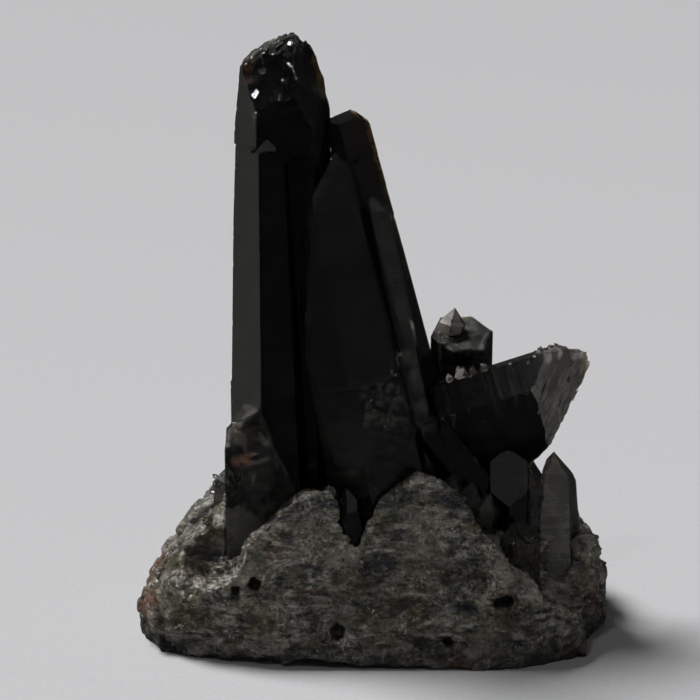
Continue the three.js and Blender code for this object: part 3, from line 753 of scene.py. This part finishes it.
def blade(group, rng, on_face, facing, heights, inner, outer, back, thickness):
    """A break behind a face, which leaves an uneven blade of it that is thinner towards its outer side."""
    facing = Vector(facing).normalized()
    corners = []
    for share in np.linspace(0, 1, BLADE_LEVELS):
        height, across, thick = (foot + (top - foot) * share for foot, top in (heights, inner, thickness))
        across += rng.normal(0, 0.5)
        for x, thicker in ((across, rng.uniform(0.4, 1.3)), (outer, rng.uniform(-0.35, 0.35))):
            depth = facing.x * (x - on_face[0]) + facing.z * (height - on_face[2]) + thick + thicker
            corners.append((x, on_face[1] - depth / facing.y, height))
        behind = height + 4 * (1 - share)
        corners += [(outer, back, behind), (across - 5, back, behind)]
    last = 4 * BLADE_LEVELS - 4
    faces = [(3, 2, 1, 0), tuple(range(last, last + 4))]
    for first in range(0, last, 4):
        for side in range(4):
            after = (side + 1) % 4
            faces.append((first + side, first + after, first + 4 + after, first + 4 + side))
    cutter(group, [Vector(corner) * MM for corner in corners], faces)


# Grooves in an outline: least and greatest half width, depth and way from one to the next, how far forwards
# and back they reach, and how far out they are open
GROOVE_SIDE, GROOVE_DEPTH, GROOVE_PITCH = (0.35, 1.1), (0.4, 1.3), (0.9, 2.3)
GROOVE_ALONG, GROOVE_TOP = (-14, 18), 3


def groove(group, rng, across, up):
    """A notch in a clump's outline, cut right through along the line of sight."""
    side = rng.uniform(*GROOVE_SIDE)
    foot = (rng.uniform(-0.6, 0.6) * side, -rng.uniform(*GROOVE_DEPTH))
    outline = [(-side, 0), foot, (side, 0), (side, GROOVE_TOP), (-side, GROOVE_TOP)]
    slope = math.tan(VIEW_DOWN)
    corners = [Vector((across + x, y, up + z - slope * y)) * MM for y in GROOVE_ALONG for x, z in outline]
    faces = [(0, 1, 2, 3, 4), (9, 8, 7, 6, 5)]
    faces += [(side, side + 5, (side + 1) % 5 + 5, (side + 1) % 5) for side in range(5)]
    cutter(group, corners, faces, dull=0.35)


def scoops(name, rng, group):
    """Rows of round hollows behind the thin edges."""
    for start, end, width, depth in SCOOPS.get(name, []):
        start, end = Vector((*start, 0)), Vector((*end, 0))
        count = math.ceil((end - start).length / (0.38 * width))
        for number in range(count + 1):
            across, up, _ = start.lerp(end, number / count) + Vector(rng.normal(0, 0.25, 3))
            place, facing = surface_at(name, across, up, behind=True)
            if place is not None:
                facing += Vector(rng.normal(0, 0.08, 3))
                chip(group, rng, place, facing, width * rng.uniform(0.85, 1.1) * MM, depth * MM, 1 * MM)


def pits(name, rng, group):
    """Pits scattered over the parts of a clump's front that are rough."""
    for left, bottom, right, top, count, least, most, shallow, deep, dull in PITS.get(name, []):
        for _ in range(count):
            place, facing = surface_at(name, rng.uniform(left, right), rng.uniform(bottom, top))
            if place is not None and not hidden_in_rock(place):
                width = rng.uniform(least, most) * MM
                facing += Vector(rng.normal(0, 0.12, 3))
                depth = width * rng.uniform(shallow, deep)
                chip(group, rng, place, facing, width, depth, 0.4 * MM, dull=dull)


def glints(name, rng, group):
    """Small sunk facets, each turned so that it mirrors the bulb to the camera."""
    for across, up, width in GLINTS.get(name, []):
        place, facing = surface_at(name, across, up)
        if place is not None:
            width *= MM
            mirroring = (EYE - place).normalized() + (BULB_FROM - place).normalized()
            seat = place - facing * 0.35 * width * math.sin(facing.angle(mirroring))
            mirroring += Vector(rng.normal(0, 0.015, 3))
            chip(group, rng, seat, mirroring, width, 0.006 * width, 0.8 * width, kind="facet")


def grooves(name, rng, group):
    """Grooves at odd distances along a clump's jagged outline, if it has one."""
    outline = np.array(JAGGED_OUTLINES.get(name, [(0, 0)]), float)
    lengths = np.linalg.norm(np.diff(outline, axis=0), axis=1)
    so_far = np.concatenate([[0], np.cumsum(lengths)])
    place = rng.uniform(0, 1)
    while place < so_far[-1]:
        groove(group, rng, *(np.interp(place, so_far, outline[:, axis]) for axis in (0, 1)))
        place += rng.uniform(*GROOVE_PITCH)


def cut_in_squares(mesh):
    """Cuts a mesh's flat faces into squares, so that each can have its own marks."""
    squares = bmesh.new()
    squares.from_mesh(mesh)
    low, high = (np.array(corner) for corner in (cad_low, cad_high))
    for along in (0, 2):
        normal = Vector((along == 0, 0, along == 2))
        for place in np.arange(low[along] + MARKS_GRID, high[along], MARKS_GRID):
            every = squares.verts[:] + squares.edges[:] + squares.faces[:]
            bmesh.ops.bisect_plane(squares, geom=every, dist=1e-7, plane_co=normal * place, plane_no=normal)
    squares.to_mesh(mesh)
    squares.free()


def cutters_for(name, shape, rng):
    """All that is to be cut out of a clump, as a group of shapes."""
    group = bpy.data.collections.new("chips_" + name)
    bpy.context.scene.collection.children.link(group)
    bare = bmesh.new()
    bare.from_mesh(shape.data)
    bmesh.ops.dissolve_limit(bare, angle_limit=math.radians(0.4), verts=bare.verts, edges=bare.edges)
    layer = bare.faces.layers.int["crystal"]
    bmesh.ops.triangulate(bare, faces=[face for face in bare.faces if face[layer] < 0])
    chip_edges(bare, layer, rng, group)
    chip_faces(bare, layer, CRYSTALS[name], rng, group)
    bare.free()
    for one in BLADES.get(name, []):
        blade(group, rng, *one)
    for add in (scoops, pits, glints, grooves):
        add(name, rng, group)
    return group


def dressed_crystals(name, material, seed):
    """One clump of crystals with its breaks and worn edges."""
    crystals = CRYSTALS[name]
    shape = copy_of(name)
    owner, natural = owners(shape.data, crystals)
    # Each face keeps which crystal it is on, from 1, below 0 where it is broken, and 0 is left for the cuts
    keep(shape.data, "crystal", "INT", "FACE", np.where(natural, owner + 1, -owner - 1))
    chips = cutters_for(name, shape, np.random.default_rng(seed))
    cut_in_squares(shape.data)
    piece = worked(
        shape, "quartz_" + name, "BOOLEAN", operation="DIFFERENCE", operand_type="COLLECTION",
        collection=chips, solver="MANIFOLD",
    )
    for one in list(chips.objects):
        bpy.data.meshes.remove(one.data)
    bpy.data.collections.remove(chips)
    mesh = piece.data
    signed = read(mesh.attributes["crystal"].data, "value", kind=np.int32)
    owner = np.where(signed == 0, owners(mesh, crystals)[0], np.abs(signed) - 1)
    natural = signed > 0
    film, etched, frost, ripple, streaks, axis = (
        np.array([one[key] for one in crystals])[owner] for key in (*LOOKS, "axis")
    )
    keep(mesh, "growth", "FLOAT_VECTOR", "FACE", np.where(natural[:, None], axis, streaks))
    dull = read(mesh.attributes["dull"].data, "value")
    facings = read(mesh.polygons, "normal", 3)
    lee = LEAST_FILM + (1 - LEAST_FILM) * np.clip(facings @ DUST_FROM, 0, 1)
    film = np.where(natural, film * lee, np.where(dull > 0, dull, etched))
    corners = read(mesh.vertices, "co", 3)[read(mesh.loops, "vertex_index", kind=np.int32)] / MM
    sides = read(mesh.polygons, "loop_total", kind=np.int32)
    shares = np.repeat(np.stack([np.where(natural, 0, ripple), film, 0 * film, frost], 1), sides, axis=0)
    # The iron share is iron stain, and in places painted glow through thin edges and painted red glints
    for *place, radius, dusty, pale, iron_and_glow in BLOTCHES:
        near = np.clip(1.4 - 1.4 * np.linalg.norm(corners - place, axis=1) / radius, 0, 1)
        shares[:, 1:] = np.maximum(shares[:, 1:], near[:, None] * (dusty, iron_and_glow, pale))
    keep(mesh, "marks", "FLOAT_COLOR", "CORNER", np.clip(shares, 0, 1))
    finished(piece, material, QUARTZ_SLOT, 12, name, flat=natural)


# Rock
def rock_place(*place):
    """A place in metres, from millimetres across, back and up, or across and up on the rock's flat front."""
    if len(place) == 2:
        across, up = place
        return np.array([across * MM, CUT_FOOT + up * MM * math.tan(CUT_LEAN), up * MM])
    return np.array(place) * MM


# Where the rock is pale, dark, olive or rusty: a place and how far round it
PALE_SPOTS = [
    (-16, 34, 6), (-6, 31, 3.5), (14, 36, 6), (38, 25, 4), (44, 21, 4), (-36, 25, 4), (62, -14, 20, 7),
    (-42.3, -21.5, 28.5, 2.5), (59, 8, 5), (-27, 6, 3), (-10, 12, 3), (30, 6, 4),
]
DARK_SPOTS = [
    (2, 24, 9), (22, 25, 8), (-14, 14, 8), (40, 12, 7), (-46, -30, 27, 8), (-55, -20, 26, 13), (-48, 12, 7),
    (60, -22, 12, 5), (-20, 42, 6), (8, 44, 6), (12, 8, 6), (-52, 3, 6),
]
OLIVE_SPOTS = [
    (-50, -14, 34, 11), (-57, -22, 24, 11), (-52, -32, 12, 8), (5, 12, 10), (-30, 16, 7), (12, 28, 7),
    (-8, 22, 6), (34, 14, 6),
]
RUSTY_SPOTS = [
    (-65, -12, 20, 9), (-63, -24, 13, 6), (-54, -18, 35, 4), (61, -20, 14, 5), (-39, 9, 3), (24, 2, 4),
]
# Pale ridges on the rock's flat front: where each starts and ends, and its width
RIDGES = [((33.7, 28.2), (45.6, 20.9), 1.7), ((-52, 17.6), (-42, 25), 1.8), ((27.5, 22), (30, 15), 0.9)]
RIDGE_HEIGHT = 0.9 * MM
UNDERSIDE = 0.35 * MM  # all that is lower than this lies flat on the floor
# Painted shade: the rock is darkened towards its foot, where it meets the floor
SHADED_FOOT = 13 * MM  # how far up the rock is darker at its foot
# The holes in the rock's flat front: where each is, its radius and how much deeper it is made; painted
# shade darkens them
HOLES = [
    (-33, 22.5, 1.9, 2.4), (-38.2, 21, 1.4, 1.6), (-51.9, 15.3, 1.9, 2.4), (-10.3, 10.2, 2.1, 2.6),
    (20, 7.7, 1.6, 2), (34.2, 17.6, 1.8, 2.2), (36.4, 17.9, 1.8, 2.2),
]
# The rock's relief in layers: its breaks, crumbs and worn front, and the ridges' uneven sides
BREAKS = [(facets_at, 2.0, 8, 41), (facets_at, 0.75, 3.6, 42)]
CRUMBS = [(facets_at, 0.22, 1.7, 43), (noise_at, 0.08, 1.3, 44)]
WORN = [(facets_at, 0.5, 6, 45), (noise_at, 0.16, 2.2, 46)]
WANDER = [(noise_at, 0.5, 3, 47), (noise_at, 0.3, 1.2, 48)]


def spotted(places, spots, seed):
    """How much of each point lies in a set of spots, whose edges are uneven."""
    wander = layers_at(places, [(noise_at, 0.5, 4, seed), (noise_at, 0.3, 1.5, seed + 1)])
    share = np.zeros(len(places))
    for *middle, radius in spots:
        distance = np.linalg.norm(places - rock_place(*middle), axis=1) / (radius * MM)
        share = np.maximum(share, np.clip(1.25 - distance + wander, 0, 1))
    return share


def ridged_at(places):
    """How much of each point is on a ridge, whose sides are uneven."""
    wander = layers_at(places, WANDER)
    ridged = np.zeros(len(places))
    for start, end, width in RIDGES:
        start, end = rock_place(*start), rock_place(*end)
        along = np.clip((places - start) @ (end - start) / ((end - start) @ (end - start)), 0, 1)
        distance = np.linalg.norm(places - start - along[:, None] * (end - start), axis=1)
        ridged = np.maximum(ridged, np.clip(1.1 - distance / (width * MM) + wander, 0, 1))
    return ridged


def nearness_to_crystals(places, within):
    """How near each point is to a crystal: 1 on it and 0 at within."""
    near = np.zeros(len(places))
    for name in CRYSTALS:
        low, high = (np.array(corner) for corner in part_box(name))
        close = ((places > low - within) & (places < high + within)).all(1)
        for index in np.flatnonzero(close):
            distance = SURFACES[name].find_nearest(Vector(places[index]), within)[3]
            if distance is not None:
                near[index] = max(near[index], 1 - distance / within)
    return near


def dressed_rock(material):
    """The rock: lumps and broken facets over the frame's own form, closed up to the crystals' roots."""
    piece = worked(copy_of("rock"), "vein_rock", "REMESH", mode="VOXEL", voxel_size=ROCK_GRAIN)
    mesh = piece.data
    places, normals = read(mesh.vertices, "co", 3), read(mesh.vertex_normals, "vector", 3)
    ahead = np.array([0, -math.cos(CUT_LEAN), math.sin(CUT_LEAN)])
    off_front = np.abs((places - rock_place(0, 0)) @ ahead)
    front = np.clip(1.6 - off_front / (0.8 * MM), 0, 1)
    broken, crumbs, worn = (layers_at(places, layers) for layers in (BREAKS, CRUMBS, WORN))
    push = MM * ((1 - front) * (broken - 0.3) + front * worn + (1 - 0.55 * front) * crumbs)
    ridged = ridged_at(places)
    push += RIDGE_HEIGHT * ridged
    near = nearness_to_crystals(places, 3 * MM)
    push = push * (1 - near) + near * 1.4 * SOCKET_GAP
    moved = places + normals * push[:, None]
    holes = np.zeros(len(places))
    for across, up, radius, deeper in HOLES:
        middle = rock_place(across, up)
        inside = np.clip(1.05 - np.linalg.norm(places - middle, axis=1) / (1.15 * radius * MM), 0, 1)
        behind = (places - middle) @ ahead < -0.3 * MM
        moved[:, 1] += behind * deeper * MM * np.sqrt(inside)
        # Painted shade: the hollow parts of the holes are darkened
        holes = np.maximum(holes, np.clip(8 * inside * behind, 0, 0.85))
    moved = np.clip(moved, np.array(cad_low), np.array(cad_high))
    moved[places[:, 2] < UNDERSIDE, 2] = 0
    mesh.vertices.foreach_set("co", moved.astype(np.float32).ravel())
    mesh.update()
    crests = np.clip(broken * 0.4 - 0.3, 0, 0.12) * (1 - front)
    # Painted shade at the foot: darker towards the floor
    foot = 0.6 * np.clip(1.1 - places[:, 2] / SHADED_FOOT, 0, 1)
    shares = [
        # Dark: the dark spots' minerals, and painted shade at the foot and in the holes
        np.maximum(np.maximum(spotted(places, DARK_SPOTS, 51) * 0.5, foot), holes),
        np.maximum(np.maximum(spotted(places, PALE_SPOTS, 53) * 0.55, crests), ridged * 0.5),
        spotted(places, OLIVE_SPOTS, 55) * (0.75 - 0.15 * front),
        spotted(places, RUSTY_SPOTS, 57) * 0.65,
    ]
    keep(mesh, "marks", "FLOAT_COLOR", "POINT", np.clip(np.stack(shares, 1), 0, 1))
    keep(mesh, "sharpness", "FLOAT", "POINT", 0.5 + 0.5 * front)
    finished(piece, material, ROCK_SLOT, 180, "rock")


# Crusts of small crystals: a patch's middle, how far round it, how many, and a bead's size
CRUSTS = [
    (-37.5, -18, 61, 2, 12, 0.45), (-33.5, -16, 65, 2, 12, 0.45), (-44, -6, 42, 3, 26, 0.45),
    (-36.5, 8, 66, 3, 12, 0.45), (21.5, 4, 70.5, 0.6, 3, 1), (24.7, 4, 71.5, 0.6, 3, 1.1),
    (28, 4, 72.5, 0.6, 3, 1), (31, 4, 73.5, 0.6, 3, 0.9), (48, 3, 79, 2.4, 16, 0.4),
    (53, 2.5, 79.6, 2.4, 18, 0.4), (58, 2, 80, 2.4, 18, 0.4), (62, 0, 80.4, 1.6, 8, 0.4),
    (-16, -38, 34, 4, 40, 0.35), (-4, -38, 30, 3, 16, 0.35), (15, -37, 38, 5, 44, 0.35),
    (40, -36, 26, 4, 30, 0.35), (62, -14, 20, 5, 30, 0.6), (60, -20, 10, 4, 20, 0.6),
    (-48, -18, 38, 5, 24, 0.6), (-60, -20, 24, 5, 16, 0.5),
]
CRUST_ROUND_ROOTS, ROOT_BEAD = 420, 0.45
CRUST_INSET = 0.05 * MM  # how far inside the frame's box the beads stay


def crust_seats(rng, rock):
    """Where the beads of the crust sit: the place, the way out there and a bead's size."""
    surfaces = [tree_of(rock)] + [SURFACES[name] for name in CRYSTALS]
    seats = []
    for *middle, radius, count, size in CRUSTS:
        for _ in range(count):
            wanted = (Vector(middle) + Vector(rng.normal(0, 0.6 * radius, 3))) * MM
            found = [surface.find_nearest(wanted, 6 * MM) for surface in surfaces]
            found = [one for one in found if one[0] is not None]
            if found:
                seats.append((*min(found, key=lambda one: one[3])[:2], size))
    middles, facings = read(rock.polygons, "center", 3), read(rock.polygons, "normal", 3)
    near = nearness_to_crystals(middles[::7], 2.2 * MM)
    roots = rng.choice(len(near), CRUST_ROUND_ROOTS, p=near / near.sum()) * 7
    return seats + [(Vector(middles[index]), Vector(facings[index]), ROOT_BEAD) for index in roots]


def crust_of_crystals(material):
    """The small crystals on the rock round the big ones' roots and on some of the breaks, as one mesh."""
    rng = np.random.default_rng(71)
    seats = crust_seats(rng, bpy.data.objects["vein_rock"].data)
    corners = []
    faces = []
    for place, facing, size in seats:
        width = size * rng.uniform(0.55, 0.9 + 1.1 * rng.uniform(0, 1)) * MM
        axis = (facing + Vector(rng.normal(0, 0.4, 3))).normalized()
        turn = axis.to_track_quat("Z", "Y").to_matrix()
        spin = rng.uniform(0, 1)
        shoulder, tip = width * rng.uniform(0.1, 1.3), width * rng.uniform(0.9, 1.3)
        first = len(corners)
        for up, out in ((-1.2 * width, width), (shoulder, width * 0.95)):
            for sixth in range(6):
                angle = math.radians(60 * (sixth + spin))
                corners.append(place + turn @ Vector((out * math.cos(angle), out * math.sin(angle), up)))
        corners.append(place + turn @ Vector((0, 0, shoulder + tip)))
        faces.append([first + 5 - sixth for sixth in range(6)])
        for sixth in range(6):
            after = (sixth + 1) % 6
            faces.append([first + sixth, first + after, first + 6 + after, first + 6 + sixth])
            faces.append([first + 6 + sixth, first + 6 + after, first + 12])
    inset = Vector((1, 1, 1)) * CRUST_INSET
    low, high = Vector(cad_low) + inset, Vector(cad_high) - inset
    corners = [[min(max(c, a), b) for c, a, b in zip(corner, low, high)] for corner in corners]
    mesh = mesh_of("crust_of_crystals", corners, faces)
    film = np.repeat(rng.uniform(0.05, 0.6, len(seats)), 13)
    keep(mesh, "marks", "FLOAT_COLOR", "FACE", np.stack([0 * film, film, 0 * film, 0.2 * film], 1))
    finished(linked("crust_of_crystals", mesh), material, QUARTZ_SLOT, 22)


MORION = smoky_quartz("natural_morion_quartz", "#b9aa66", 2300, "#77756e")
SMOKY = smoky_quartz("natural_smoky_quartz", "#c8b49c", 420, "#a39c94")
for number, clump in enumerate(CRYSTALS):
    dressed_crystals(clump, MORION, 100 + number)
dressed_rock(vein_rock())
crust_of_crystals(SMOKY)


# Floor, light and air
def paper_floor():
    """Pale matt paper under the specimen. It doesn't show in the crystals' faces, which mirror a dim room."""
    mesh = mesh_of("floor", [(-8, -8, 0), (8, -8, 0), (8, 8, 0), (-8, 8, 0)], [(0, 1, 2, 3)])
    floor = linked("floor", mesh)
    floor.location.z = -0.02 * MM
    floor.visible_glossy = False
    material, add = bare(bpy.data.materials.new("matt_paper"))
    place = add("TexCoord").outputs["Object"]
    fibre = add("TexNoise", Vector=place, **pattern(1.5, 3, 0.5))
    shade = add("ValToRGB", {"stops": [(0.3, "#dadadc"), (0.7, "#e0e0e2")]}, Fac=fibre)
    paper = add("BsdfPrincipled", Base_Color=shade, Roughness=0.9)
    add("OutputMaterial", Surface=paper)
    mesh.materials.append(material)


def lamp(name, kind, place, power, **settings):
    """A light that looks at the specimen from a place."""
    light = bpy.data.lights.new(name, kind)
    light.energy = power
    for key, value in settings.items():
        setattr(light, key, value)
    made = linked(name, light)
    made.location = place
    made.rotation_euler = (VIEW_AIM * 0.6 - Vector(place)).to_track_quat("-Z", "Y").to_euler()


# The dim room: the way to its palest side, and its looks from the other side to that one
PALEST_WAY = (-0.87, 0.49, 0)
ROOM = [(0.0, "#4c4c4e"), (0.2, "#262627"), (0.5, "#262627"), (0.92, "#303030"), (0.985, "#7a7a76")]


def studio_air():
    """The light of a dim room all round."""
    world, add = bare(bpy.data.worlds.new("studio"))
    way = add("TexCoord").outputs["Generated"]
    aside = add("VectorMath", "DOT_PRODUCT", i0=way, i1=PALEST_WAY)
    turned = add("MapRange", Value=aside, **spread(-1, 1))
    level = add("ValToRGB", {"stops": ROOM}, Fac=turned)
    glow = add("Background", Color=level, Strength=1.0)
    add("OutputWorld", Surface=glow)
    bpy.context.scene.world = world


paper_floor()
studio_air()
lamp("window", "SUN", WINDOW_FROM, 2.7, angle=math.radians(24))
lamp("ceiling_behind", "AREA", (0.0, 1.0, 1.1), 0.06, shape="RECTANGLE", size=0.9, size_y=0.5)
lamp("bulb", "AREA", BULB_FROM, 0.6, shape="DISK", size=0.065)
lamp("ceiling_ahead", "AREA", (0.08, -0.5, 1.1), 0.31, shape="RECTANGLE", size=0.78, size_y=0.7)
bpy.context.scene.view_settings.view_transform = "Standard"
